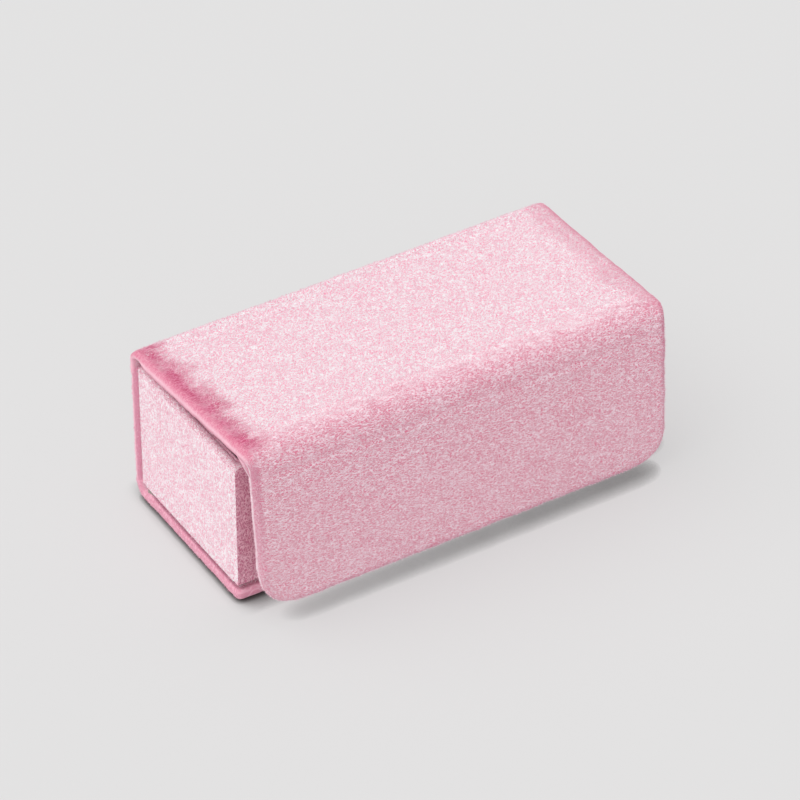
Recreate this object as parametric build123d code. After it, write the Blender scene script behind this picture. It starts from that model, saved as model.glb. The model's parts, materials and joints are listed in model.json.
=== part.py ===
from build123d import *
import math
import os

# Foldover jewelry box. A cover of padded, velvet-wrapped boards (base, spine, lid and
# front flap) folds round a velvet-covered tray that is glued to the base and the spine.
# +X runs along the box, the front flap faces -Y, +Z is up. The origin is the middle of
# the base's flat underside. The lid stands a few degrees ajar, as such a box rests.
# All sizes are in millimetres and all angles in degrees.

# --- cover ---
cover_length = 170.0       # base, spine and lid, over their wrapped ends
base_depth = 72.4          # front edge of the base to the outer face of the spine
spine_height = 64.3        # underside to the lid's outer face, at the spine
back_fold_radius = 5.0     # outer radius of the velvet where the spine turns into the lid
heel_radius = 6.7          # outer radius where the base turns up into the spine
front_fold_radius = 7.0    # outer radius where the lid turns down into the flap
flap_gap = 5.5             # base's front edge to the flap's inner face, lid shut
flap_end_inset = 1.2       # how much shorter the flap is than the lid, at each end
flap_corner_radius = 14.9
flap_below_level = 0.25    # flap edge below the underside if the lid could shut dead level
lid_ajar = 3.7             # slope of the lid at rest
flap_flare = 4.76          # lean of the flap at rest, bottom edge outwards

# --- sheet stock ---
velvet = 1.0               # cloth with its pile
strip = 2.4                # folding strip: outer velvet and lining glued face to face
board = 2.0                # greyboard of the lid, flap, base and tray
spine_board = 2.3
lid_wadding = 1.5          # thin foam under the outer velvet of the lid and flap
base_wadding = 2.7
edge_margin = 1.8          # board edge to the outside of the wrapped edge
lining_margin = 3.0        # lining edge to the outside of the wrapped edge
hinge_land = 3.0           # flat run of thin strip between a fold and the stiff part
hinge_cover = 1.0          # velvet over a stiff part's edge beside a folding strip
full_round = 0.48          # rounding of a wrapped edge, as a share of its thickness
split_gap = 0.5            # between the two halves of a folding strip, at its inner face

# --- tray ---
ledge_end = 1.6            # base showing beyond each end of the tray
ledge_front = 1.6          # base showing in front of the tray
rim_gap = 0.9              # tray rim to the lid's lining, lid level
turned_strip = 3.0         # front and back velvet turned onto the tray's end faces
end_panel_proud = 0.3      # end panel standing out from the turned strips
glue_gap = 0.05            # tray to the base and the spine

# --- inside the tray ---
ring_bay_length = 70.0     # left bay, between the end lining and the first divider
divider_board = 2.0
divider_drop = 6.0         # divider tops below the rim
roll_count = 7
roll_diameter = 9.6
roll_top_depth = 22.0      # tops of the ring rolls below the rim
roll_seat = 2.0            # how deep the rolls sit in the foam block
pad_thickness = 3.0        # padded bottoms of the plain bays
soft_gap = 0.1             # room round the padded pieces

# --- closure ---
magnet_diameter = 10.0
magnet_thickness = 1.5
magnet_spacing = 90.0
magnet_from_edge = 17.0    # magnet centres above the flap's free edge
pocket_gap = 0.1

# --- worked out ---
lid_thickness = velvet + lid_wadding + board + velvet
base_thickness = velvet + base_wadding + board + velvet
spine_thickness = velvet + spine_board + velvet
half_length = cover_length / 2
back_y = base_depth / 2
front_y = -base_depth / 2
lid_run = (base_depth - back_fold_radius) + flap_gap + lid_thickness - front_fold_radius
flap_length = spine_height - front_fold_radius + flap_below_level
spine_run = spine_height - heel_radius - back_fold_radius
flap_half = half_length - flap_end_inset
tray_x = half_length - ledge_end
tray_front = front_y + ledge_front
tray_back = back_y - spine_thickness - glue_gap
tray_floor = base_thickness
tray_rim = spine_height - lid_thickness - rim_gap
wall = velvet + board + velvet
inner_x = tray_x - wall
inner_front = tray_front + wall
inner_back = tray_back - wall
divider = divider_board + 2 * velvet
ring_bay_end = -inner_x + ring_bay_length
plain_bay_start = ring_bay_end + divider
plain_bay_length = (inner_x - plain_bay_start - divider) / 2
plain_bay_end = plain_bay_start + plain_bay_length
last_bay_start = plain_bay_end + divider
bay_rim = tray_rim - divider_drop
roll_centre_z = tray_rim - roll_top_depth - roll_diameter / 2
block_top = roll_centre_z - roll_diameter / 2 + roll_seat
magnet_places = (-magnet_spacing / 2, magnet_spacing / 2)
roll_pitch = (ring_bay_length - 2 * soft_gap - roll_diameter) / (roll_count - 1)

BASE, SPINE, LID, FLAP = 0.0, 90.0, 180.0 - lid_ajar, 270.0 - flap_flare


def place(start, heading, u, v):
    """The (y, z) point u along a cover panel and v inwards from its outer face."""
    a = math.radians(heading)
    return (
        start[0] + u * math.cos(a) - v * math.sin(a),
        start[1] + u * math.sin(a) + v * math.cos(a),
    )


base_start = (front_y, 0.0)
spine_start = (back_y, heel_radius)
back_fold_centre = (back_y - back_fold_radius, spine_height - back_fold_radius)
lid_start = place(back_fold_centre, LID, 0, -back_fold_radius)
front_fold_centre = place(lid_start, LID, lid_run, front_fold_radius)
flap_start = place(front_fold_centre, FLAP, 0, -front_fold_radius)


def slab(start, heading, u0, u1, v0, v1):
    """Section of a flat layer: a four-sided face in the (y, z) plane."""
    corners = [(u0, v0), (u1, v0), (u1, v1), (u0, v1)]
    points = [place(start, heading, u, v) for u, v in corners]
    return make_face(Polyline(points, close=True))


def fold(centre, radius, from_angle, to_angle):
    """Section of part of a folding strip, between two angles about its centre."""
    swing = to_angle - from_angle
    outer = CenterArc(centre, radius, from_angle, swing)
    inner = CenterArc(centre, radius - strip, from_angle, swing)
    sides = [Line(outer @ 0, inner @ 0), Line(outer @ 1, inner @ 1)]
    return make_face([outer, inner] + sides)


def run_along(section, half):
    """Sweep a (y, z) section along X, from -half to +half."""
    return extrude(Plane.YZ * section, half, both=True)


def block(x0, x1, y0, y1, z0, z1):
    """An upright box between two corners."""
    return Pos((x0 + x1) / 2, (y0 + y1) / 2, (z0 + z1) / 2) * Box(x1 - x0, y1 - y0, z1 - z0)


def direction(heading):
    """Unit vector along a cover panel."""
    a = math.radians(heading)
    return Vector(0, math.cos(a), math.sin(a))


def layer(start, heading, u0, u1, v0, v1, half, margin, corner=0.0):
    """A flat sheet inside a cover panel, set in from its ends by margin."""
    sheet = run_along(slab(start, heading, u0, u1, v0, v1), half - margin)
    if corner:
        sheet = fillet(lower_corners(sheet), corner - margin)
    return sheet


def lower_corners(panel):
    """The two edges through the flap's thickness at its lower corners."""
    through = direction(FLAP + 90)
    across = [e for e in panel.edges() if abs((e % 0.5).dot(through)) > 0.99]
    across.sort(key=lambda e: e.center().Z)
    return across[:2]


def wrapped_ends(panel, heading):
    """The edges along a panel's heading, where the velvet wraps its two ends."""
    along = direction(heading)
    return [e for e in panel.edges() if abs((e % 0.5).dot(along)) > 0.99]


def wrapped_outline(panel, start, heading):
    """The flap's edges on both faces, except those at the fold."""
    through = direction(heading + 90)
    fold_point = Vector(0, *start)
    outline = [e for e in panel.edges() if abs((e % 0.5).dot(through)) < 0.01]
    beyond = hinge_land + 0.1
    return [e for e in outline if (e.center() - fold_point).dot(direction(heading)) > beyond]


# --- cover: boards, wadding and linings ---

def base_layers():
    u1 = base_depth - heel_radius - hinge_cover
    middle = velvet + base_wadding
    wadding = layer(base_start, BASE, edge_margin, u1, velvet, middle, half_length, edge_margin)
    stiff = layer(base_start, BASE, edge_margin, u1, middle, middle + board, half_length, edge_margin)
    return {"base_wadding": wadding, "base_board": stiff}


def spine_layers():
    u1 = spine_run - hinge_land - hinge_cover
    depth = velvet + spine_board
    stiff = layer(spine_start, SPINE, hinge_cover, u1, velvet, depth, half_length, edge_margin)
    return {"spine_board": stiff}


def padded_layers(name, start, heading, far_edge, lining_far_edge, half, corner):
    """Wadding, board and lining of the lid or the flap, from the outside in."""
    middle = velvet + lid_wadding
    inner = middle + board
    u0 = hinge_land + hinge_cover
    lining_u0 = hinge_land + lining_margin
    wadding = layer(start, heading, u0, far_edge, velvet, middle, half, edge_margin, corner)
    stiff = layer(start, heading, u0, far_edge, middle, inner, half, edge_margin, corner)
    lining = layer(
        start, heading, lining_u0, lining_far_edge, inner, lid_thickness, half, lining_margin, corner
    )
    return {name + "_wadding": wadding, name + "_board": stiff, name + "_lining": lining}


# --- cover: outer velvet ---

def fold_split(radius):
    """Half of the split between the two halves of a fold, as an angle."""
    return math.degrees(split_gap / 2 / (radius - strip))


def base_velvet(cores):
    panel = run_along(slab(base_start, BASE, 0, base_depth - heel_radius, 0, base_thickness), half_length)
    ends = wrapped_ends(panel, BASE)
    front = [e for e in panel.edges().filter_by(Axis.X) if e.center().Y < front_y + 0.1]
    return fillet(ends + front, base_thickness * full_round) - cores


def spine_velvet(cores):
    stiff_end = spine_run - hinge_land
    panel = run_along(slab(spine_start, SPINE, 0, stiff_end, 0, spine_thickness), half_length)
    panel = fillet(wrapped_ends(panel, SPINE), spine_thickness * full_round)
    heel_centre = (back_y - heel_radius, heel_radius)
    middle = (LID - SPINE) / 2 - fold_split(back_fold_radius)
    soft = fold(heel_centre, heel_radius, -90, 0)
    soft += slab(spine_start, SPINE, stiff_end, spine_run, 0, strip)
    soft += fold(back_fold_centre, back_fold_radius, 0, middle)
    panel += run_along(soft, half_length - strip / 2)
    return panel - cores


def lid_velvet(cores):
    stiff_end = lid_run - hinge_land
    panel = run_along(slab(lid_start, LID, hinge_land, stiff_end, 0, lid_thickness), half_length)
    panel = fillet(wrapped_ends(panel, LID), lid_thickness * full_round)
    back_middle = (LID - SPINE) / 2 + fold_split(back_fold_radius)
    front_middle = (LID + FLAP) / 2 - 90 - fold_split(front_fold_radius)
    soft = fold(back_fold_centre, back_fold_radius, back_middle, LID - 90)
    soft += slab(lid_start, LID, 0, hinge_land, 0, strip)
    soft += slab(lid_start, LID, stiff_end, lid_run, 0, strip)
    soft += fold(front_fold_centre, front_fold_radius, LID - 90, front_middle)
    panel += run_along(soft, half_length - strip / 2)
    return panel - cores


def flap_velvet(cores):
    panel = run_along(slab(flap_start, FLAP, hinge_land, flap_length, 0, lid_thickness), flap_half)
    panel = fillet(lower_corners(panel), flap_corner_radius)
    panel = fillet(wrapped_outline(panel, flap_start, FLAP), lid_thickness * full_round)
    middle = (LID + FLAP) / 2 - 90 + fold_split(front_fold_radius)
    soft = fold(front_fold_centre, front_fold_radius, middle, FLAP - 90)
    soft += slab(flap_start, FLAP, 0, hinge_land, 0, strip)
    panel += run_along(soft, flap_half - strip / 2)
    return panel - cores


# --- closure ---

def disc(start, heading, u, x, v, diameter, thickness):
    """A round plate with its outer face v inwards from a panel's outer face."""
    y, z = place(start, heading, u, v)
    into = direction(heading + 90)
    plane = Plane(origin=(x, y, z), z_dir=into)
    return extrude(plane * Circle(diameter / 2), thickness)


def magnets(clearance=0.0):
    """The two magnets let into the flap board's inner face."""
    u = flap_length - magnet_from_edge
    v = lid_thickness - velvet - magnet_thickness
    size = magnet_diameter + 2 * clearance
    both = [disc(flap_start, FLAP, u, x, v, size, magnet_thickness) for x in magnet_places]
    return both


def keepers(clearance=0.0):
    """The two steel discs let into the outer face of the tray's front board."""
    size = magnet_diameter + 2 * clearance
    start = (tray_front, magnet_from_edge)
    both = [disc(start, 270.0, 0, x, velvet, size, magnet_thickness) for x in magnet_places]
    return both


# --- tray: boards ---

def tray_boards():
    top = tray_rim - velvet
    x_out = tray_x - velvet
    y_front = tray_front + velvet
    y_back = tray_back - velvet
    low = tray_floor + glue_gap
    front = block(-x_out, x_out, y_front, y_front + board, low, top)
    back = block(-x_out, x_out, y_back - board, y_back, low, top)
    y0 = y_front + board
    y1 = y_back - board
    left = block(-x_out, -x_out + board, y0, y1, low, top)
    right = block(x_out - board, x_out, y0, y1, low, top)
    floor = block(-x_out + board, x_out - board, y0, y1, low, low + board)
    return {
        "tray_front_board": front - keepers(pocket_gap),
        "tray_back_board": back,
        "tray_left_board": left,
        "tray_right_board": right,
        "tray_floor_board": floor,
    }


# --- tray: velvet ---

def tray_band(x, y0, y1, z0, z1, thickness):
    """Four upright sides of cloth, thickness deep inside the given outline."""
    t = thickness
    return block(-x, x, y0, y1, z0, z1) - block(-x + t, x - t, y0 + t, y1 - t, z0, z1)


def end_recess(side):
    """Where an end panel is let into the turned-over velvet, on side -1 or +1."""
    x = sorted((side * (tray_x + end_panel_proud), side * (tray_x - velvet)))
    y0 = tray_front + turned_strip
    y1 = tray_back - turned_strip
    return block(x[0], x[1], y0, y1, tray_floor + glue_gap, tray_rim - velvet)


def tray_velvets():
    outer = tray_band(tray_x, tray_front, tray_back, tray_floor + glue_gap, tray_rim, velvet)
    rim_in = velvet + board
    rim = tray_band(tray_x, tray_front, tray_back, tray_rim - velvet, tray_rim, rim_in)
    wrap = outer + rim - [end_recess(-1), end_recess(1)]
    inner_low = tray_floor + glue_gap + board
    lining = tray_band(tray_x - rim_in, tray_front + rim_in, tray_back - rim_in, inner_low, tray_rim, velvet)
    return {
        "tray_wrap_velvet": wrap,
        "tray_left_end_velvet": end_recess(-1),
        "tray_right_end_velvet": end_recess(1),
        "tray_lining": lining,
    }


# --- inside the tray ---

def dividers():
    """Two padded walls across the tray: a board in each with velvet round it."""
    pieces = {}
    low = tray_floor + glue_gap + board
    for name, x0 in (("ring_divider", ring_bay_end), ("middle_divider", plain_bay_end)):
        x1 = x0 + divider
        cloth = block(x0, x1, inner_front, inner_back, low, bay_rim)
        stiff = block(x0 + velvet, x1 - velvet, inner_front + velvet, inner_back - velvet, low, bay_rim - velvet)
        pieces[name + "_board"] = stiff
        pieces[name + "_velvet"] = cloth - stiff
    return pieces


def bay_pads():
    """The padded bottoms of the two plain bays."""
    pieces = {}
    low = tray_floor + glue_gap + board
    bays = (("middle_bay_pad", plain_bay_start, plain_bay_end), ("right_bay_pad", last_bay_start, inner_x))
    for name, x0, x1 in bays:
        y0 = inner_front + soft_gap
        y1 = inner_back - soft_gap
        pad = block(x0 + soft_gap, x1 - soft_gap, y0, y1, low, low + pad_thickness)
        pieces[name] = fillet(pad.edges().group_by(Axis.Z)[-1], pad_thickness / 3)
    return pieces


def ring_bay():
    """A foam block with a row of velvet rolls across it, which grip rings between them."""
    low = tray_floor + glue_gap + board
    y0 = inner_front + soft_gap
    y1 = inner_back - soft_gap
    first = -inner_x + soft_gap + roll_diameter / 2
    foam = block(-inner_x + soft_gap, ring_bay_end - soft_gap, y0, y1, low, block_top)
    pieces = {}
    for i in range(roll_count):
        plane = Plane(origin=(first + i * roll_pitch, y0, roll_centre_z), z_dir=(0, 1, 0))
        roll = extrude(plane * Circle(roll_diameter / 2), y1 - y0)
        pieces[f"ring_roll_{i + 1}"] = roll
        foam -= roll
    pieces["ring_foam"] = foam
    return pieces


def build():
    """Every sub-part of the box, by name."""
    lid_far = lid_run - hinge_land
    lid_cores = padded_layers(
        "lid", lid_start, LID, lid_far - hinge_cover, lid_far - lining_margin, half_length, 0.0
    )
    flap_cores = padded_layers(
        "flap", flap_start, FLAP, flap_length - edge_margin, flap_length - lining_margin, flap_half,
        flap_corner_radius,
    )
    base_cores = base_layers()
    spine_cores = spine_layers()
    parts = {**base_cores, **spine_cores, **lid_cores, **flap_cores}
    parts["base_velvet"] = base_velvet(list(base_cores.values()))
    parts["spine_velvet"] = spine_velvet(list(spine_cores.values()))
    parts["lid_velvet"] = lid_velvet(list(lid_cores.values()))
    parts["flap_velvet"] = flap_velvet(list(flap_cores.values()))
    parts["flap_board"] = parts["flap_board"] - magnets(pocket_gap)
    parts["flap_magnets"] = Compound(children=magnets())
    parts["tray_keepers"] = Compound(children=keepers())
    for group in (tray_boards(), tray_velvets(), dividers(), bay_pads(), ring_bay()):
        parts.update(group)
    return parts


if __name__ == "__main__":
    os.makedirs("parts", exist_ok=True)
    for name, part in build().items():
        export_step(part, f"parts/{name}.step")
        print(f"{name}: {len(part.solids())} solid(s), {part.volume:.0f} mm3")
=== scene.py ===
# %% [markdown]
# # A foldover velvet jewelry box
# The box is a tray inside a cover. The cover is four padded boards, the base, the spine, the
# lid and the flap, wrapped in one length of velvet that also makes the hinges between them.
# The frame below brings in every board and pad at its true size, and this lesson dresses
# them: first the cover, as one sheet that is extruded and spun round the box, then the tray,
# its inside, the velvet itself, and at the end the short pile that stands up along the edges.

# %% The frame
import json
import math
import bpy
import numpy as np
from mathutils import Matrix, Vector, noise


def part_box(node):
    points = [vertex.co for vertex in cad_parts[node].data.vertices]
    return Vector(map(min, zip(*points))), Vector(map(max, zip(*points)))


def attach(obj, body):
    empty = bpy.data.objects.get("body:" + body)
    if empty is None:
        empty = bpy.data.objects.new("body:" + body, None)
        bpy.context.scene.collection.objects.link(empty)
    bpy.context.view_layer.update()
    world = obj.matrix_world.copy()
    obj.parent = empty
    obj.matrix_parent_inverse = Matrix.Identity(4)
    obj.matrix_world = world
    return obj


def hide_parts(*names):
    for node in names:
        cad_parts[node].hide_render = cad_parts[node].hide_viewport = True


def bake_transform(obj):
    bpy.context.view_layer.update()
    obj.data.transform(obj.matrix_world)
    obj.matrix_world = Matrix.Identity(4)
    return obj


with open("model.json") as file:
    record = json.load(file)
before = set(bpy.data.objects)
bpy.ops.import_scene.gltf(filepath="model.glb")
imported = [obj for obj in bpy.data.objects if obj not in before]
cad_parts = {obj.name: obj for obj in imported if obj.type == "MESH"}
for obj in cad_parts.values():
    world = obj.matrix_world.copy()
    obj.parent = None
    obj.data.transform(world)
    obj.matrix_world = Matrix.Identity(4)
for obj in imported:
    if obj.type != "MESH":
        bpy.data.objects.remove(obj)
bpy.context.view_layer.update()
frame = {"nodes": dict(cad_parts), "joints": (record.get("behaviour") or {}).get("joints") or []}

MM = 0.001

# %% [markdown]
# ## Camera
# The box is seen from its front left corner and from above, with a long lens from far off, so
# that its edges stay almost parallel. The camera is placed by its azimuth, elevation and
# distance from a point inside the box, because those three say what the picture shows. A
# matrix with the camera's own three directions as columns turns it without any trial.

# %% Camera
AZIMUTH, ELEVATION, ROLL = (math.radians(a) for a in (-31.65, 37.95, -0.15))
AIM = Vector((1.18, -3.18, 31.83)) * MM
DISTANCE = 1678.3 * MM
LENS_MM = 215.5

away = Vector((
    math.sin(AZIMUTH) * math.cos(ELEVATION),
    -math.cos(AZIMUTH) * math.cos(ELEVATION),
    math.sin(ELEVATION),
))
level = Vector((math.cos(AZIMUTH), math.sin(AZIMUTH), 0))
upright = away.cross(level)
right = level * math.cos(ROLL) + upright * math.sin(ROLL)
up = upright * math.cos(ROLL) - level * math.sin(ROLL)

bpy.ops.object.select_all(action="DESELECT")
bpy.ops.object.camera_add()
camera = bpy.context.object
camera.data.lens = LENS_MM
camera.data.clip_end = 20
turn = Matrix((right, up, away)).transposed().to_4x4()
camera.matrix_world = Matrix.Translation(AIM + away * DISTANCE) @ turn
bpy.context.scene.camera = camera
print("camera at", [round(v, 3) for v in camera.location])

# %% [markdown]
# ## Where the cover runs
# Seen from its end, the cover is a line that runs along the base, turns up the spine, turns
# over the lid and turns down the flap. Each straight run has a start, a heading and a length,
# and each turn has a centre and a radius. All of them come from the frame's boxes and hinge
# points, so the cloth and the boards can't drift apart.

# %% The cover's line
LID_AJAR, FLAP_FLARE = 3.7, 4.76
HEEL_R, BACK_R, FRONT_R = 6.7 * MM, 5.0 * MM, 7.0 * MM
STRIP = 2.4 * MM
HINGE_LAND = 3.0 * MM
FLAP_LENGTH = 57.55 * MM
FLAP_CORNER = 14.9 * MM

base_low, base_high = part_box("base_velvet")
spine_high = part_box("spine_velvet")[1]
HALF = base_high.x
FLAP_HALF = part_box("flap_velvet")[1].x
BASE_THICK = base_high.z
SPINE_THICK = spine_high.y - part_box("tray_wrap_velvet")[1].y
LID_THICK = 5.5 * MM
hinge = {j["name"]: Vector(j["pos_m"]) for j in frame["joints"]}


def polar(angle, radius=1.0):
    """The (y, z) step of a given length in a direction, in degrees."""
    return np.array((math.cos(math.radians(angle)), math.sin(math.radians(angle)))) * radius


BASE, SPINE, LID, FLAP = 0.0, 90.0, 180.0 - LID_AJAR, 270.0 - FLAP_FLARE
lid_hinge = np.array(hinge["lid_hinge"][1:])
flap_hinge = np.array(hinge["flap_hinge"][1:])
back_centre = lid_hinge - polar((SPINE + LID) / 2 - 90, BACK_R)
front_centre = flap_hinge - polar((LID + FLAP) / 2 - 90, FRONT_R)
heel_centre = np.array((spine_high.y - HEEL_R, HEEL_R))
base_start = np.array((base_low.y, 0.0))
spine_start = heel_centre + polar(0, HEEL_R)
lid_start = back_centre + polar(LID - 90, BACK_R)
flap_start = front_centre + polar(FLAP - 90, FRONT_R)
BASE_RUN = heel_centre[0] - base_low.y
SPINE_RUN = back_centre[1] - HEEL_R
LID_RUN = float(np.linalg.norm(front_centre + polar(LID - 90, FRONT_R) - lid_start))

# each stretch: kind, where, direction or first angle, length along the cloth
stretches = [
    ("run", base_start, BASE, BASE_RUN),
    ("turn", heel_centre, -90.0, HEEL_R * math.radians(90)),
    ("run", spine_start, SPINE, SPINE_RUN),
    ("turn", back_centre, 0.0, BACK_R * math.radians(LID - SPINE)),
    ("run", lid_start, LID, LID_RUN),
    ("turn", front_centre, LID - 90, FRONT_R * math.radians(FLAP - LID)),
    ("run", flap_start, FLAP, FLAP_LENGTH),
]
starts = np.concatenate(([0.0], np.cumsum([s[3] for s in stretches])))
U_BACK, U_LID, U_FRONT, U_FLAP, U_END = starts[3:8]
radii = {1: HEEL_R, 3: BACK_R, 5: FRONT_R}
print("cloth lengths in mm:", np.round(starts * 1000, 1))

# %% [markdown]
# ## Cover cage
# The real cover starts as a flat length of velvet on a table. So this one starts as a narrow
# grid, one row of faces wide, lying where the front of the base is. Its far row is extruded
# along each board and spun round each fold, and ends at the flap's lower edge. The columns
# stand close together only where the cloth wraps the ends, and the rows only beside the
# folds, so that a subdivision surface later rounds the edges and keeps the middle flat.

# %% Cover cage
EDGE_LOOP = 4.5 * MM
COLUMNS = 27
ROW_STEP = 6.0 * MM


def finish_edit():
    bpy.ops.object.mode_set(mode="OBJECT")


def pick_vertices(piece, chosen):
    """Select only the vertices for which chosen(co) is true, and stay in edit mode."""
    finish_edit()
    mesh = piece.data
    mesh.polygons.foreach_set("select", [False] * len(mesh.polygons))
    mesh.edges.foreach_set("select", [False] * len(mesh.edges))
    for v in mesh.vertices:
        v.select = bool(chosen(v.co))
    bpy.ops.object.mode_set(mode="EDIT")
    bpy.ops.mesh.select_mode(type="VERT")


def steps_between(length, first=0.0, last=0.0):
    """Row spacings over a run: a short first and last one, and even ones between."""
    middle = length - first - last
    count = max(1, round(middle / ROW_STEP))
    rows = [middle / count] * count
    return [r for r in [first] + rows + [last] if r > 0]


def extrude_rows(heading, spacings):
    for step in spacings:
        y, z = polar(heading, step)
        bpy.ops.mesh.extrude_region_move(TRANSFORM_OT_translate={"value": (0, y, z)})


def spin_rows(centre, degrees, steps):
    bpy.ops.mesh.spin(
        steps=steps, angle=math.radians(degrees), center=(0, *centre), axis=(-1, 0, 0)
    )


bpy.ops.object.select_all(action="DESELECT")
bpy.ops.mesh.primitive_grid_add(x_subdivisions=COLUMNS + 3, y_subdivisions=1, size=2 * HALF)
cage = bpy.context.object
cage.name = "cover_cage"
inner_columns = np.linspace(-HALF + EDGE_LOOP, HALF - EDGE_LOOP, COLUMNS + 2)
columns = np.concatenate(([-HALF], inner_columns, [HALF]))
old = sorted({round(v.co.x, 6) for v in cage.data.vertices})
for v in cage.data.vertices:
    column = min(range(len(old)), key=lambda i: abs(old[i] - v.co.x))
    row = EDGE_LOOP if v.co.y > 0 else 0.0
    v.co = (columns[column], base_low.y + row, 0.0)

edge_y = base_low.y + EDGE_LOOP
pick_vertices(cage, lambda co: abs(co.y - edge_y) < 1e-6)
extrude_rows(BASE, steps_between(BASE_RUN - EDGE_LOOP))
spin_rows(heel_centre, 90.0, 6)
extrude_rows(SPINE, steps_between(SPINE_RUN - HINGE_LAND, last=2.0 * MM))
extrude_rows(SPINE, [HINGE_LAND])
spin_rows(back_centre, LID - SPINE, 8)
extrude_rows(LID, [HINGE_LAND])
extrude_rows(LID, steps_between(LID_RUN - 2 * HINGE_LAND, first=2.0 * MM, last=2.0 * MM))
extrude_rows(LID, [HINGE_LAND])
spin_rows(front_centre, FLAP - LID, 8)
extrude_rows(FLAP, [HINGE_LAND])
extrude_rows(FLAP, steps_between(FLAP_LENGTH - HINGE_LAND, first=2.0 * MM, last=EDGE_LOOP))
finish_edit()
print("cage:", len(cage.data.vertices), "vertices,", len(cage.data.polygons), "faces")
print("last row at", [round(v * 1000, 2) for v in cage.data.vertices[-1].co])

# %% [markdown]
# ## Thickness and round edges
# Every board has its own thickness under the velvet, and the folds are only cloth. A Solidify
# modifier reads the thickness from a vertex group, so one sheet becomes boards and hinges in
# one step. The flap's lower corners are rounded by sliding the grid's square corner onto a
# quarter disc, which keeps all faces four-sided. The Subdivision Surface then rounds every
# edge, because the short rows at the borders hold the middle flat.


# %% Thickness and round edges
def read(piece, name):
    """A point attribute as an array of rows."""
    data = piece.data.attributes[name].data
    flat = np.zeros(len(data) * 3)
    data.foreach_get("vector", flat)
    return flat.reshape(-1, 3)


def points(piece):
    flat = np.zeros(len(piece.data.vertices) * 3)
    piece.data.vertices.foreach_get("co", flat)
    return flat.reshape(-1, 3)


def move_points(piece, co):
    piece.data.vertices.foreach_set("co", np.asarray(co, np.float32).ravel())
    piece.data.update()


def unroll(y, z):
    """The length along the cloth of a point on the cover's outer face."""
    best = (9.0, 0.0)
    for i, (kind, where, angle, length) in enumerate(stretches):
        rel = np.array((y, z)) - where
        if kind == "run":
            s = float(np.clip(rel @ polar(angle), 0, length))
            gap = float(np.linalg.norm(rel - polar(angle, s)))
        else:
            turned = math.degrees(math.atan2(rel[1], rel[0])) - angle
            turned = (turned + 180) % 360 - 180
            s = float(np.clip(math.radians(turned) * radii[i], 0, length))
            gap = float(np.linalg.norm(rel - polar(angle + math.degrees(s / radii[i]), radii[i])))
        best = min(best, (gap, starts[i] + s))
    return best[1]


def ramp(value, low, high):
    t = np.clip((value - low) / (high - low), 0, 1)
    return t * t * (3 - 2 * t)


def activate(*objects):
    bpy.ops.object.select_all(action="DESELECT")
    for o in objects:
        o.select_set(True)
    bpy.context.view_layer.objects.active = objects[0]


def apply_all(piece):
    activate(piece)
    for m in list(piece.modifiers):
        bpy.ops.object.modifier_apply(modifier=m.name)


co = points(cage)
lengths = np.array([unroll(y, z) for _, y, z in co])
cloth = cage.data.attributes.new("cloth", "FLOAT_VECTOR", "POINT")
cloth.data.foreach_set("vector", np.column_stack((co[:, 0], lengths, 0 * lengths)).ravel())

# the flap is a little narrower than the lid, and the front fold takes that up
narrow = 1 - (1 - FLAP_HALF / HALF) * ramp(lengths, U_FRONT, U_FLAP)
x = co[:, 0] * narrow
a = (np.abs(x) - (FLAP_HALF - FLAP_CORNER)) / FLAP_CORNER
b = (lengths - (U_END - FLAP_CORNER)) / FLAP_CORNER
inside = (a > 0) & (b > 0)
a2 = np.where(inside, a * np.sqrt(np.clip(1 - b * b / 2, 0, 1)), a)
b2 = np.where(inside, b * np.sqrt(np.clip(1 - a * a / 2, 0, 1)), b)
x = np.sign(x) * (FLAP_HALF - FLAP_CORNER + a2 * FLAP_CORNER)
drop = (b2 - b) * FLAP_CORNER
co[:, 0] = np.where(inside, x, co[:, 0] * narrow)
co[:, 1:] += drop[:, None] * polar(FLAP)[None, :] * inside[:, None]
move_points(cage, co)

# the wadding's edge fills the back fold a little more than the bare strip of cloth does
SOFT_FILL = 1.0 * MM
thick = cage.vertex_groups.new(name="thickness")
for v, u in zip(cage.data.vertices, lengths):
    if u < starts[1] - 1e-6:
        t = BASE_THICK
    elif u < U_BACK - HINGE_LAND - 1e-6:
        t = SPINE_THICK
    elif u < U_LID + HINGE_LAND + 1e-6:
        t = STRIP + SOFT_FILL * ramp(u, U_BACK, U_LID)
    else:
        t = LID_THICK
    thick.add([v.index], t / BASE_THICK, "REPLACE")

activate(cage)
bpy.ops.object.mode_set(mode="EDIT")
bpy.ops.mesh.select_all(action="SELECT")
bpy.ops.mesh.flip_normals()
finish_edit()
solid = cage.modifiers.new("Solidify", "SOLIDIFY")
solid.thickness = BASE_THICK
solid.offset = -1
solid.vertex_group = "thickness"
solid.use_even_offset = True
solid.material_offset = 1
solid.material_offset_rim = 0
rounded = cage.modifiers.new("Subdivision", "SUBSURF")
rounded.levels = 3
apply_all(cage)
print("cover:", len(cage.data.vertices), "vertices")

# %% [markdown]
# ## The lid that doesn't close flat
# Glued velvet boards never come out quite flat. This lid stands more open at its left end
# than at its right one, so everything beyond the back fold is turned about the lid's hinge by
# an angle that changes along the box. The same turn goes to the boards inside the lid and
# the flap. Small soft waves go into the whole surface too, because padding is never even.

# %% The lid's twist
TWIST = math.radians(1.05)


def twisted(co, weight):
    """Points turned about the lid's hinge line, by an angle that grows towards the ends."""
    angle = co[:, 0] / HALF * TWIST * weight
    rel = co[:, 1:] - lid_hinge
    c, s = np.cos(angle), np.sin(angle)
    out = co.copy()
    out[:, 1] = lid_hinge[0] + c * rel[:, 0] - s * rel[:, 1]
    out[:, 2] = lid_hinge[1] + s * rel[:, 0] + c * rel[:, 1]
    return out


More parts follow.
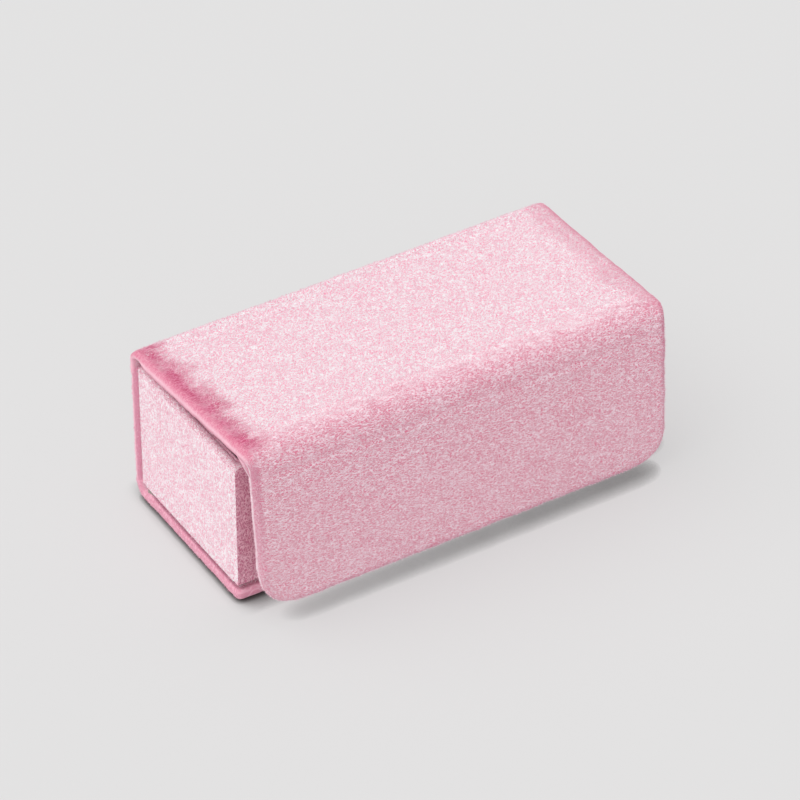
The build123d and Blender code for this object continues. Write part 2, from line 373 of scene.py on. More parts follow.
def field(co, size, seed):
    """Smooth noise from -1 to 1 at each point, with features of a size in metres."""
    shift = Vector((seed * 7.3, seed * 3.1, seed * 5.7))
    return np.array([noise.noise(Vector(p) / size + shift) for p in co])


def on_line(u):
    """The (y, z) places and inward directions at many lengths along the cover's outer face."""
    index = np.clip(np.searchsorted(starts, u, side="right") - 1, 0, len(stretches) - 1)
    place, inward = np.zeros((len(u), 2)), np.zeros((len(u), 2))
    for i, (kind, where, angle, _) in enumerate(stretches):
        here = index == i
        along = u[here] - starts[i]
        turned = np.radians(angle + (0 if kind == "run" else np.degrees(along / radii.get(i, 1))))
        heading = np.column_stack((np.cos(turned) + 0 * along, np.sin(turned) + 0 * along))
        if kind == "run":
            place[here] = where + heading * along[:, None]
            inward[here] = np.column_stack((-heading[:, 1], heading[:, 0]))
        else:
            place[here] = where + heading * radii[i]
            inward[here] = -heading
    return place, inward


co = points(cage)
cloth_at = read(cage, "cloth")
x_flat, u_flat = cloth_at[:, 0], cloth_at[:, 1]
place, inward = on_line(u_flat)
depth = ((co[:, 1:] - place) * inward).sum(1)
flat_points = np.column_stack((x_flat, u_flat, depth))
cage.data.attributes["cloth"].data.foreach_set("vector", flat_points.ravel())

# how far each point is from the cloth's nearest free edge
from_end = HALF - np.abs(x_flat)
from_tip = np.minimum(u_flat, U_END - u_flat)
from_edge = np.minimum(from_end, from_tip)
rim = cage.data.attributes.new("edge", "FLOAT", "POINT")
rim.data.foreach_set("value", from_edge)

normals = np.zeros(len(co) * 3)
cage.data.vertex_normals.foreach_get("vector", normals)
normals = normals.reshape(-1, 3)
near_edge = 1 - ramp(from_edge, 2 * MM, 8 * MM)
# the base stays flat under the box, and the folds stay even
on_front_fold = ramp(u_flat, U_FRONT - 4 * MM, U_FRONT)
on_front_fold *= 1 - ramp(u_flat, U_FLAP, U_FLAP + 4 * MM)
free = ramp(u_flat, starts[1], starts[2]) * (1 - 0.9 * on_front_fold)
wave = 0.16 * field(flat_points, 11 * MM, 1) + 0.10 * field(flat_points, 4 * MM, 2)
ripple = np.zeros(len(co))
rows = near_edge > 0.01
ripple[rows] = 0.2 * near_edge[rows] * field(flat_points[rows], 3.2 * MM, 3)
co = co + normals * ((wave * free + ripple) * MM)[:, None]
co[:, 2] = np.where(u_flat < starts[1], np.maximum(co[:, 2], 0.0), co[:, 2])
lid_weight = ramp(u_flat, U_BACK, U_LID)
# the seams pull the cloth in a little from the boards' full length
PULLED_IN = 0.995
co[:, 0] *= PULLED_IN
move_points(cage, twisted(co, lid_weight))
print("lid twisted by", round(math.degrees(TWIST), 2), "degrees to each side")

# %% [markdown]
# ## Five pieces of one cloth
# The base with its spine, the lid and the flap are stiff, and each rides on its own body. The
# strips across the two folds stay where they are, on no body. So the cover is cut along the rows 3
# mm beyond each fold. Every cut gets a cap to close it, and its edge is marked sharp, so that the
# cap doesn't darken the velvet beside it.


# %% Cut at the folds
def cut_off(piece, low, high, name):
    """Separate the faces that lie between two lengths along the cloth."""
    u = read(piece, "cloth")[:, 1]
    middle = [u[list(p.vertices)].mean() for p in piece.data.polygons]
    finish_edit()
    activate(piece)
    piece.data.vertices.foreach_set("select", [False] * len(piece.data.vertices))
    piece.data.edges.foreach_set("select", [False] * len(piece.data.edges))
    piece.data.polygons.foreach_set("select", [bool(low < m < high) for m in middle])
    bpy.ops.object.mode_set(mode="EDIT")
    bpy.ops.mesh.select_mode(type="FACE")
    bpy.ops.mesh.separate(type="SELECTED")
    finish_edit()
    part = next(o for o in bpy.context.selected_objects if o != piece)
    part.name = part.data.name = name
    return part


def cap_cuts(piece):
    activate(piece)
    bpy.ops.object.mode_set(mode="EDIT")
    bpy.ops.mesh.select_mode(type="EDGE")
    bpy.ops.mesh.select_all(action="DESELECT")
    bpy.ops.mesh.select_non_manifold(extend=False)
    bpy.ops.mesh.mark_sharp()
    bpy.ops.mesh.fill(use_beauty=False)
    bpy.ops.mesh.select_all(action="SELECT")
    bpy.ops.mesh.normals_make_consistent(inside=False)
    bpy.ops.mesh.select_all(action="DESELECT")
    finish_edit()
    bpy.ops.object.shade_smooth()


cage.data.materials.clear()
LANDS = [U_BACK - HINGE_LAND, U_LID + HINGE_LAND, U_FRONT - HINGE_LAND, U_FLAP + HINGE_LAND]
back_fold = cut_off(cage, LANDS[0], LANDS[1], "cover_back_fold")
lid_cover = cut_off(cage, LANDS[1], LANDS[2], "cover_lid")
front_fold = cut_off(cage, LANDS[2], LANDS[3], "cover_front_fold")
flap_cover = cut_off(cage, LANDS[3], 9, "cover_flap")
base_cover = cage
base_cover.name = base_cover.data.name = "cover_base_and_spine"
cover = [base_cover, back_fold, lid_cover, front_fold, flap_cover]
for piece in cover:
    cap_cuts(piece)
    print(piece.name, len(piece.data.polygons), "faces")

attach(base_cover, "base")
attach(lid_cover, "lid")
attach(flap_cover, "flap")
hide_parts("base_velvet", "spine_velvet")
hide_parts("lid_velvet")
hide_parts("flap_velvet")
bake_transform(back_fold)
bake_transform(front_fold)

# %% [markdown]
# ## Boards, wadding and linings in the lid and the flap
# Each of these is a flat layer, so each starts as a cube in the board's own directions:
# across, along the cloth and into the box. Bevels give it its edges and the flap's two round
# corners. One matrix then turns it onto its board, and it takes the same twist as the cover,
# so no board can come through the lining.


# %% Layers in the lid and the flap
def edges_at(piece, chosen):
    """In edit mode, select the edges whose two ends are both chosen."""
    pick_vertices(piece, chosen)
    bpy.ops.mesh.select_mode(type="EDGE")


def pick_edges(piece, chosen):
    """In edit mode, select the edges for which chosen(one end, other end) is true."""
    mesh = piece.data
    activate(piece)
    mesh.polygons.foreach_set("select", [False] * len(mesh.polygons))
    mesh.vertices.foreach_set("select", [False] * len(mesh.vertices))
    ends = [[mesh.vertices[i].co for i in e.vertices] for e in mesh.edges]
    mesh.edges.foreach_set("select", [bool(chosen(*pair)) for pair in ends])
    bpy.context.tool_settings.mesh_select_mode = (False, True, False)
    bpy.ops.object.mode_set(mode="EDIT")


def block(name, low, high):
    """A box between two corners, with its origin at the world's."""
    low, high = Vector(low), Vector(high)
    bpy.ops.object.select_all(action="DESELECT")
    bpy.ops.mesh.primitive_cube_add(size=1, location=(low + high) / 2, scale=high - low)
    bpy.ops.object.transform_apply(location=True, rotation=True, scale=True)
    piece = bpy.context.object
    piece.name = piece.data.name = name
    return piece


def bevel(width, segments):
    bpy.ops.mesh.bevel(offset=width, segments=segments, affect="EDGES", clamp_overlap=True)


def soften(piece, width, segments=3, chosen=lambda co: True):
    edges_at(piece, chosen)
    bevel(width, segments)
    finish_edit()
    bpy.ops.object.shade_smooth_by_angle(angle=math.radians(50))


def slice_up(piece, step, axis):
    """Cut a piece into slices along one axis, so that it can bend."""
    co = points(piece)[:, axis]
    count = max(1, round((co.max() - co.min()) / step))
    normal = [0, 0, 0]
    normal[axis] = 1
    activate(piece)
    bpy.ops.object.mode_set(mode="EDIT")
    bpy.ops.mesh.select_mode(type="VERT")
    for i in range(1, count):
        at = co.min() + (co.max() - co.min()) * i / count
        bpy.ops.mesh.select_all(action="SELECT")
        bpy.ops.mesh.bisect(plane_co=[at * n for n in normal], plane_no=normal)
    finish_edit()


def board_box(node, start, heading):
    """The box of a CAD node in a board's own directions: across, along and inwards."""
    rel = points(frame["nodes"][node])[:, 1:] - start
    along, inward = rel @ polar(heading), rel @ polar(heading + 90)
    across = points(frame["nodes"][node])[:, 0]
    rows = np.column_stack((across, along, inward))
    return rows.min(0), rows.max(0)


def onto_board(piece, start, heading):
    turn = Matrix.Rotation(math.radians(heading), 4, "X")
    piece.data.transform(Matrix.Translation((0, *start)) @ turn)
    co = points(piece)
    move_points(piece, twisted(co, np.ones(len(co))))


def layer(node, name, start, heading, corner=0.0, edge=0.0, grow=0.0):
    """A board, a pad or a lining that lies inside the lid or the flap."""
    low, high = board_box(node, start, heading)
    low[2] -= grow
    high[2] += grow
    piece = block(name, low, high)
    if corner:
        pick_edges(piece, lambda p, q: min(p.y, q.y) > high[1] - 1e-6 and abs(p.z - q.z) > 1e-6)
        bevel(corner, 8)
        finish_edit()
    if edge:
        top = high[2]
        soften(piece, edge, 3, lambda co: co.z > top - 1e-6)
    slice_up(piece, 8 * MM, 0)
    slice_up(piece, 12 * MM, 1)
    onto_board(piece, start, heading)
    return piece


lid_parts, flap_parts = {}, {}
for part in ("board", "wadding", "lining"):
    edge = 0.45 * MM if part == "lining" else 0
    grow = 0.15 * MM if part == "lining" else 0
    corner = FLAP_CORNER - (3.0 if part == "lining" else 1.8) * MM
    lid_parts[part] = layer("lid_" + part, "inner_lid_" + part, lid_start, LID, 0, edge, grow)
    flap_parts[part] = layer(
        "flap_" + part, "inner_flap_" + part, flap_start, FLAP, corner, edge, grow
    )
    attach(lid_parts[part], "lid")
    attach(flap_parts[part], "flap")
    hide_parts("lid_" + part)
    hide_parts("flap_" + part)
    print(part, "faces", len(lid_parts[part].data.polygons), len(flap_parts[part].data.polygons))

# %% [markdown]
# ## Tray
# The tray is a second, smaller box of boards glued onto the base. Its front and back are
# wrapped in one band of velvet, which also rolls over the rim and turns a little onto the
# ends. It starts as a cube at the tray's size. The top face is inset by the wall and pushed
# down to make the hollow, and the rim and the upright corners are bevelled round, because
# cloth can't make a sharp corner. The end panels are glued on last and stand a little proud.

# %% Tray outside
wrap_low, wrap_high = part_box("tray_wrap_velvet")
lining_low, lining_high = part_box("tray_lining")
RIM_EDGE, UPRIGHT_EDGE, PANEL_EDGE = 1.1 * MM, 1.3 * MM, 0.4 * MM
tray = block("tray_wrap", wrap_low, wrap_high)
edges_at(tray, lambda co: co.z > wrap_high.z - 1e-6)
bpy.ops.mesh.select_mode(type="FACE")
bpy.ops.mesh.inset(thickness=lining_low.x - wrap_low.x)
bpy.ops.mesh.extrude_region_move(
    TRANSFORM_OT_translate={"value": (0, 0, lining_low.z - 0.1 * MM - wrap_high.z)}
)
finish_edit()
soften(tray, RIM_EDGE, 5, lambda co: co.z > wrap_high.z - 1e-6)


def at_upright(co):
    at_end = abs(abs(co.x) - wrap_high.x) < 1e-5
    return at_end and (co.y < wrap_low.y + 1e-5 or co.y > wrap_high.y - 1e-5)


edges_at(tray, at_upright)
bevel(UPRIGHT_EDGE, 5)
finish_edit()
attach(tray, "base")
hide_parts("tray_wrap_velvet")

end_panels = []
for side in ("left", "right"):
    node = "tray_" + side + "_end_velvet"
    low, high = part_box(node)
    outer_x = low.x if side == "left" else high.x
    panel = block("tray_" + side + "_end", low, high)
    soften(panel, PANEL_EDGE, 4, lambda co: abs(co.x - outer_x) < 1e-6)
    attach(panel, "base")
    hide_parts(node)
    end_panels.append(panel)
print("tray:", len(tray.data.polygons), "faces")

# %% [markdown]
# ## Tray inside
# The walls are lined with velvet, two velvet dividers make three bays, and seven rolls of
# foam in velvet lie side by side in the left bay to hold rings between them. A soft pad lies
# in each of the other two bays. The rolls are cylinders with bevelled ends.

# %% Tray inside
lining = block("tray_inner_lining", lining_low, lining_high)
pick_vertices(lining, lambda co: True)
bpy.ops.mesh.select_mode(type="FACE")
finish_edit()
for face in lining.data.polygons:
    face.select = abs(face.normal.z) > 0.9
bpy.ops.object.mode_set(mode="EDIT")
bpy.ops.mesh.inset(thickness=1.0 * MM, use_individual=True)
bpy.ops.mesh.bridge_edge_loops()
finish_edit()
soften(lining, 0.45 * MM, 3, lambda co: co.z > lining_high.z - 1e-6)

soft_inside = [lining]
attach(lining, "base")
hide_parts("tray_lining")
for node in ("ring_divider_velvet", "middle_divider_velvet"):
    low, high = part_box(node)
    piece = block(node.replace("_velvet", "_cover"), low, high)
    soften(piece, 1.5 * MM, 6, lambda co: co.z > high.z - 1e-6)
    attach(piece, "base")
    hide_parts(node)
    soft_inside.append(piece)
pads = []
for node in ("middle_bay_pad", "right_bay_pad", "ring_foam"):
    low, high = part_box(node)
    if node == "ring_foam":
        high.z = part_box("ring_roll_1")[0].z + 1.2 * MM
    piece = block("soft_" + node, low, high)
    soften(piece, 1.2 * MM, 5, lambda co: co.z > high.z - 1e-6)
    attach(piece, "base")
    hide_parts(node)
    pads.append(piece)
rolls = []
for i in range(1, 8):
    low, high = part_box(f"ring_roll_{i}")
    size = high - low
    bpy.ops.object.select_all(action="DESELECT")
    bpy.ops.mesh.primitive_cylinder_add(
        vertices=40, radius=size.x / 2, depth=size.y,
        location=(low + high) / 2, rotation=(math.radians(90), 0, 0),
    )
    bpy.ops.object.transform_apply(location=True, rotation=True, scale=True)
    piece = bpy.context.object
    piece.name = piece.data.name = f"velvet_roll_{i}"
    soften(piece, 2.2 * MM, 5, lambda co: co.y < low.y + 1e-6)
    soften(piece, 2.2 * MM, 5, lambda co: co.y > high.y - 1e-6)
    slice_up(piece, 6 * MM, 1)
    co = points(piece)
    middle = np.array((low + high) / 2)
    dent = 1 + 0.02 * field(co, 9 * MM, 20 + i)
    move_points(piece, middle + (co - middle) * np.column_stack((dent, np.ones(len(co)), dent)))
    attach(piece, "base")
    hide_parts(f"ring_roll_{i}")
    rolls.append(piece)
print("rolls:", len(rolls), "with", len(rolls[0].data.polygons), "faces each")

# %% [markdown]
# ## Materials
# The velvet is a short crushed pile. Its tufts lean in small curls, so from above one sees
# pale strands where the sides of the fibres catch the light, and deeper pink between them
# where one looks down into the pile. The strands are ridged noise, stretched along the nap
# and bent by a second noise. The coordinates are those of the flat cloth, so the pattern runs
# on across the folds without a break. A sheen layer adds the pale rim that fabric shows at
# grazing angles.


# %% Material helpers
def linear(code):
    """A linear colour from an sRGB hex code."""
    out = []
    for i in (0, 2, 4):
        c = int(code[i : i + 2], 16) / 255
        out.append(c / 12.92 if c <= 0.04045 else ((c + 0.055) / 1.055) ** 2.4)
    return (*out, 1.0)


def add(tree, kind, inputs=(), **settings):
    """A shader node with its settings, and its sockets set or linked."""
    node = tree.nodes.new("ShaderNode" + kind)
    for key, value in settings.items():
        setattr(node, key, value)
    for key, value in dict(inputs).items():
        if isinstance(value, bpy.types.NodeSocket):
            tree.links.new(value, node.inputs[key])
        else:
            node.inputs[key].default_value = value
    return node


def maths(tree, operation, a, b=0.0, c=0.0):
    inputs = {0: a, 1: b}
    if operation in ("MULTIPLY_ADD", "COMPARE", "WRAP"):
        inputs[2] = c
    return add(tree, "Math", inputs, operation=operation).outputs[0]


def span(tree, value, low, high, to_low=0.0, to_high=1.0):
    inputs = {"Value": value, 1: low, 2: high, 3: to_low, 4: to_high}
    return add(tree, "MapRange", inputs, interpolation_type="SMOOTHSTEP").outputs["Result"]


def mix(tree, factor, a, b):
    node = add(tree, "Mix", data_type="RGBA")
    for key, value in ((0, factor), (6, a), (7, b)):
        if isinstance(value, bpy.types.NodeSocket):
            tree.links.new(value, node.inputs[key])
        else:
            node.inputs[key].default_value = value
    return node.outputs[2]


def surface(name):
    material = bpy.data.materials.new(name)
    material.use_nodes = True
    tree = material.node_tree
    tree.nodes.clear()
    output = add(tree, "OutputMaterial")
    return material, tree, output


def in_mm(tree, source):
    """Coordinates in millimetres, from the flat cloth or from the object."""
    if source == "object":
        out = add(tree, "TexCoord").outputs["Object"]
    else:
        out = add(tree, "Attribute", attribute_name=source).outputs["Vector"]
    scaled = {0: out, 1: (1000, 1000, 1000)}
    return add(tree, "VectorMath", scaled, operation="MULTIPLY").outputs[0]


def warped(tree, at, size, amount):
    """Coordinates bent by noise: features of a size and shifts of an amount, in mm."""
    blob = add(tree, "TexNoise", {"Vector": at, "Scale": 1 / size, "Detail": 1.5})
    middle = {0: blob.outputs["Color"], 1: (0.5, 0.5, 0.5)}
    centred = add(tree, "VectorMath", middle, operation="SUBTRACT")
    shift = add(tree, "VectorMath", {0: centred.outputs[0], "Scale": 2 * amount}, operation="SCALE")
    return add(tree, "VectorMath", {0: at, 1: shift.outputs[0]}, operation="ADD").outputs[0]


def strands(tree, at, lengths, seed, thin):
    """Ridged noise: near 1 on the strands and 0 between them. lengths are in mm."""
    move = (seed * 17.0, seed * 5.0, seed * 11.0)
    shifted = add(tree, "VectorMath", {0: at, 1: move}, operation="ADD").outputs[0]
    sizes = {0: shifted, 1: tuple(1 / v for v in lengths)}
    scaled = add(tree, "VectorMath", sizes, operation="MULTIPLY").outputs[0]
    value = add(tree, "TexNoise", {"Vector": scaled, "Scale": 1.0, "Detail": 0.0}).outputs["Fac"]
    away_from_half = maths(tree, "ABSOLUTE", maths(tree, "SUBTRACT", value, 0.5))
    line = maths(tree, "SUBTRACT", 1.0, maths(tree, "MULTIPLY", away_from_half, thin))
    return maths(tree, "MAXIMUM", line, 0.0)


def pile_pattern(tree, at, lengths, curl, thin=9.0):
    """Two crossing sets of strands, each broken along its length and bent by its own noise."""
    first = strands(tree, warped(tree, at, 2.2, curl), lengths, 0, thin)
    second = strands(tree, warped(tree, at, 1.5, curl * 0.7), lengths, 1, thin)
    both = maths(tree, "MAXIMUM", first, maths(tree, "MULTIPLY", second, 0.9))
    broken = add(tree, "TexNoise", {"Vector": at, "Scale": 1.2, "Detail": 1.0}).outputs["Fac"]
    return maths(tree, "MULTIPLY", both, span(tree, broken, 0.25, 0.6, 0.68, 1.0))


def pile_shader(tree, output, colour, pile, height, sheen, strength=0.6):
    bump = add(tree, "Bump", {"Height": pile, "Strength": strength, "Distance": height * MM})
    shader = add(tree, "BsdfPrincipled", {
        "Base Color": colour, "Roughness": 0.85, "Normal": bump.outputs["Normal"],
        "Sheen Weight": sheen, "Sheen Roughness": 0.4, "Sheen Tint": linear("FFDCE9"),
        "Specular IOR Level": 0.12,
    })
    tree.links.new(shader.outputs[0], output.inputs["Surface"])


def velvet(name, deep, pale, lengths, curl, height, sheen, reach=(0.0, 0.9)):
    """Short pile velvet: lengths is a strand's size on each axis, and curl how far it bends."""
    material, tree, output = surface(name)
    at = in_mm(tree, "object")
    pile = pile_pattern(tree, at, lengths, curl)
    patch = add(tree, "TexNoise", {"Vector": at, "Scale": 1 / 7.0, "Detail": 1.0}).outputs["Fac"]
    level = maths(tree, "ADD", pile, span(tree, patch, 0.3, 0.7, -0.05, 0.05))
    colour = mix(tree, span(tree, level, *reach), linear(deep), linear(pale))
    pile_shader(tree, output, colour, pile, height, sheen)
    return material


def cover_velvet():
    """The cover's crushed velvet: curls on the lid, strands along the box on the flap, and the pile
    brushed open into a deep pink band above the rolled ends of the lid, its depth partly painted
    shade. The rolled ends, the ends of the base and the spine, and the flap's edge carry painted
    highlights and painted shade."""
    material, tree, output = surface("crushed_velvet")
    at = in_mm(tree, "cloth")
    parts = add(tree, "SeparateXYZ", {0: at})
    across, along = parts.outputs[0], parts.outputs[1]
    deep = parts.outputs[2]
    edge = add(tree, "Attribute", attribute_name="edge").outputs["Fac"]
    edge = maths(tree, "MULTIPLY", edge, 1000.0)
    marks = (starts[2], U_LID, U_FRONT, U_FLAP, U_END)
    base_to, lid_from, fold, flap_from, tip = (v * 1000 for v in marks)

    # the lid's curls turn into strands along the box from the front fold down
    curls = pile_pattern(tree, at, (0.85, 0.55, 0.6), 0.8)
    combed = pile_pattern(tree, at, (1.6, 0.5, 0.5), 0.5)
    wander = add(tree, "TexNoise", {"Vector": at, "Scale": 1 / 6.0, "Detail": 2.0}).outputs["Fac"]
    wandering = maths(tree, "ADD", along, span(tree, wander, 0.2, 0.8, -4.0, 4.0))
    on_flap = span(tree, wandering, fold - 9.0, fold + 5.0)
    low_flap = span(tree, wandering, flap_from, tip - 6.0)
    pile = mix(tree, on_flap, curls, combed)
    level = maths(tree, "MULTIPLY", pile, span(tree, low_flap, 0.0, 1.0, 1.0, 0.72))
    level = maths(tree, "ADD", level, span(tree, low_flap, 0.0, 1.0, 0.0, 0.12))
    patch = add(tree, "TexNoise", {"Vector": at, "Scale": 1 / 8.0, "Detail": 2.0}).outputs["Fac"]
    level = maths(tree, "ADD", level, span(tree, patch, 0.3, 0.7, -0.03, 0.03))
    on_top = span(tree, level, -0.06, 0.62)
    lid_colour = mix(tree, on_top, linear("F7A0BC"), linear("FFFDFF"))
    # the flap's deeper pinks are partly its combed pile and partly painted shade for the hanging
    # side, which gets less light than the lid
    hanging = span(tree, level, -0.02, 0.8)
    flap_colour_with_shade = mix(tree, hanging, linear("E687A1"), linear("FFE6F0"))
    colour = mix(tree, on_flap, lid_colour, flap_colour_with_shade)

    # the brushed band, ragged on its inner side, and stronger at the left end: brushed pile, with
    # its darker pink painted shade for the deeper look such pile has from this side
    across_hairs = {0: at, 1: (0.16, 1.0, 0.5)}
    stretched = add(tree, "VectorMath", across_hairs, operation="MULTIPLY").outputs[0]
    ragged = add(tree, "TexNoise", {"Vector": stretched, "Scale": 1.0, "Detail": 2.0})
    bays = add(tree, "TexNoise", {"Vector": at, "Scale": 1 / 10.0, "Detail": 1.0}).outputs["Fac"]
    shifted = maths(tree, "ADD", edge, span(tree, ragged.outputs["Fac"], 0.3, 0.7, -1.5, 1.5))
    shifted = maths(tree, "ADD", shifted, span(tree, bays, 0.3, 0.7, -2.2, 2.2))
    band = span(tree, shifted, 5.5, 13.5, 1.0, 0.0)
    before_fold = span(tree, along, fold - 1, fold + 7, 1.0, 0.0)
    on_lid = maths(tree, "MULTIPLY", span(tree, along, lid_from - 6, lid_from), before_fold)
    side = span(tree, across, -10.0, 10.0, 1.0, 0.36)
    clump = add(tree, "TexNoise", {"Vector": at, "Scale": 1 / 8.0, "Detail": 2.0}).outputs["Fac"]
    strength = maths(tree, "MULTIPLY", side, span(tree, clump, 0.35, 0.6, 0.7, 1.0))
    band = maths(tree, "MULTIPLY", maths(tree, "MULTIPLY", band, on_lid), strength)
    combed_in = strands(tree, warped(tree, at, 2.0, 0.5), (2.0, 0.6, 0.6), 4, 7.0)
    band_colour = mix(tree, combed_in, linear("CB5379"), linear("E78FAD"))
    colour = mix(tree, band, colour, band_colour)

    # the rolled ends are smoother: deep pink above, where the band's painted shade runs on, a
    # painted highlight as a pale line halfway down, and painted shade as dull pink below, towards
    # the gap
    near_end = span(tree, edge, 0.3, 4.2, 1.0, 0.0)
    rolled = maths(tree, "MULTIPLY", near_end, span(tree, along, fold + 2, fold + 9, 1.0, 0.0))
    roll_colour = mix(tree, span(tree, deep, 0.3, 2.5), linear("D67893"), linear("F0A6BB"))
    # painted highlight: the pale line along the roll
    lit = maths(tree, "MULTIPLY", span(tree, deep, 0.8, 2.4), 0.5)
    roll_colour = mix(tree, lit, roll_colour, linear("FFDCE6"))
    # painted shade: dull pink on the roll's underside
    roll_colour = mix(tree, span(tree, deep, 2.3, 3.9), roll_colour, linear("D98BA3"))
    hairs = strands(tree, warped(tree, at, 1.6, 0.6), (1.6, 0.6, 1.6), 3, 8.0)
    hairs = maths(tree, "MULTIPLY", hairs, 0.4)
    roll_colour = mix(tree, hairs, roll_colour, linear("FFD9E4"))

    # the ends of the base and the spine are duller: painted shade deepens into their thickness, and
    # a painted shadow is darkest beside the tray
    under = mix(tree, span(tree, deep, 1.6, 3.0), linear("F5B9CA"), linear("D4869F"))
    below = maths(tree, "LESS_THAN", along, base_to)
    ticks = strands(tree, at, (3.0, 0.7, 2.0), 6, 7.0)
    # painted shadow where the base meets the tray
    shadow_beside_tray = span(tree, deep, 4.9, 6.1)
    on_base = mix(tree, ticks, linear("DF8FA8"), linear("F3B4C7"))
    on_base = mix(tree, shadow_beside_tray, on_base, linear("93425D"))
    under = mix(tree, below, under, on_base)
    roll_colour = mix(tree, maths(tree, "LESS_THAN", along, lid_from - 5), roll_colour, under)
    colour = mix(tree, maths(tree, "MULTIPLY", rolled, 0.9), colour, roll_colour)

    # the flap's edge is a deeper pink, with a painted highlight as a pale rim on its inner side
    below_fold = span(tree, along, fold + 4, fold + 10)
    deeper_edge_band = maths(tree, "MULTIPLY", span(tree, edge, 0.8, 4.0, 1.0, 0.0), below_fold)
    fading = span(tree, along, flap_from, flap_from + 40, 0.7, 0.35)
    deeper_edge_band = maths(tree, "MULTIPLY", deeper_edge_band, fading)
    colour = mix(tree, deeper_edge_band, colour, linear("D27F9A"))
    # painted highlight along the flap's rim
    rim = maths(tree, "MULTIPLY", span(tree, deep, 1.8, 3.2), below_fold)
    colour = mix(tree, rim, colour, linear("FFE9F0"))
    smooth = maths(tree, "MULTIPLY", pile, span(tree, rolled, 0.0, 1.0, 1.0, 0.2))
    pile_shader(tree, output, colour, smooth, 0.3, 0.3)
    return material


def plain(name, code, rough, metal=0.0):
    material, tree, output = surface(name)
    inputs = {"Base Color": linear(code), "Roughness": rough, "Metallic": metal}
    shader = add(tree, "BsdfPrincipled", inputs)
    tree.links.new(shader.outputs[0], output.inputs["Surface"])
    return material


# %% Materials
crushed_velvet = cover_velvet()
# each velvet: its colours, then strand size, curl, bump height and sheen
upright_velvet = velvet(
    "upright_velvet", "F4B4C8", "FFFDFF", (0.6, 0.6, 1.8), 0.4, 0.2, 0.3, (-0.15, 0.7)
)
# the darker copy is painted shade for the tray's front face, which faces away from the light; the
# pale upright velvet is its lit copy
shaded_velvet = velvet("wrapped_velvet", "D0809A", "F6C6D4", (0.9, 0.9, 1.3), 0.6, 0.3, 0.25)
lining_velvet = velvet("soft_lining_velvet", "DB9DB1", "F6CEDB", (1.2, 1.2, 1.2), 0.7, 0.2, 0.25)
greyboard = plain("grey_board", "A39C93", 0.9)
foam = plain("open_foam", "EFECE4", 0.95)
steel = plain("mild_steel", "B9BABD", 0.35, 1.0)
nickel = plain("nickel_plating", "D9D9DC", 0.2, 1.0)


def dress(piece, material):
    piece.data.materials.clear()
    piece.data.materials.append(material)


for piece in cover:
    dress(piece, crushed_velvet)
dress(tray, upright_velvet)
tray.data.materials.append(shaded_velvet)
# the front faces take the darker copy as painted shade, the rest the pale one
faces_in_painted_shade = [int(p.normal.y < -0.7 and p.center.y < wrap_low.y + 1 * MM) for p in tray.data.polygons]
tray.data.polygons.foreach_set("material_index", faces_in_painted_shade)
for piece in end_panels:
    dress(piece, upright_velvet)
for piece in soft_inside + rolls + pads[:2] + [lid_parts["lining"], flap_parts["lining"]]:
    dress(piece, lining_velvet)
dress(pads[2], foam)
for parts in (lid_parts, flap_parts):
    dress(parts["board"], greyboard)
    dress(parts["wadding"], foam)
by_slot = {"greyboard": greyboard, "foam": foam, "magnet": nickel, "steel": steel}
for node in frame["nodes"].values():
    for i, old in enumerate(node.data.materials):
        if old and old.name.split(".")[0] in by_slot:
            node.material_slots[i].material = by_slot[old.name.split(".")[0]]
print("materials:", sorted(m.name for m in bpy.data.materials if m.users))

# %% [markdown]
# ## Standing pile
# Along an edge one sees the pile from its side, and no flat shader can show that. One tuft is
# a cone with three sides. Copies of it are set on the faces of a finished piece, thick near
# its edges and thin elsewhere, each with its own lean, length and turn. A fixed seed gives
# the same pile every time. The pile of a piece is one mesh, which moves as the piece does.

# %% Standing pile
rng = np.random.default_rng(11)
PANEL_TUFTS = 2.0
bpy.ops.object.select_all(action="DESELECT")
bpy.ops.mesh.primitive_cone_add(vertices=3, radius1=1, radius2=0, depth=1, location=(0, 0, 0.5))
bpy.ops.object.transform_apply(location=True, rotation=True, scale=True)
cone = bpy.context.object
tuft_points = points(cone)
tuft_faces = [tuple(p.vertices) for p in cone.data.polygons]
bpy.ops.object.delete()


def scatter(piece, density):
    """Random points with their normals, at density(centres, normals, attributes) per mm2."""
    mesh = piece.data
    n = len(mesh.polygons)
    centre, normal, area = np.zeros(n * 3), np.zeros(n * 3), np.zeros(n)
    mesh.polygons.foreach_get("center", centre)
    mesh.polygons.foreach_get("normal", normal)
    mesh.polygons.foreach_get("area", area)
    centre, normal = centre.reshape(-1, 3), normal.reshape(-1, 3)
    extra = {}
    first = np.array([p.vertices[0] for p in mesh.polygons])
    if "cloth" in mesh.attributes:
        extra["cloth"] = read(piece, "cloth")[first]
        value = np.zeros(len(mesh.vertices))
        mesh.attributes["edge"].data.foreach_get("value", value)
        extra["edge"] = value[first]
    wanted = density(centre, normal, extra) * area / MM**2
    counts = rng.poisson(np.clip(wanted, 0, 4000))
    index = np.repeat(np.arange(n), counts)
    corners = np.zeros((len(index), 4, 3))
    co = points(piece)
    table = [tuple(mesh.polygons[i].vertices)[:4] for i in np.flatnonzero(counts)]
    table = {i: (t if len(t) == 4 else (*t, t[-1])) for i, t in zip(np.flatnonzero(counts), table)}
    if len(index):
        corners = co[np.array([table[i] for i in index])]
    a, b = rng.random((len(index), 1)), rng.random((len(index), 1))
    at = (corners[:, 0] * (1 - a) + corners[:, 1] * a) * (1 - b)
    at += (corners[:, 3] * (1 - a) + corners[:, 2] * a) * b
    return at, normal[index]


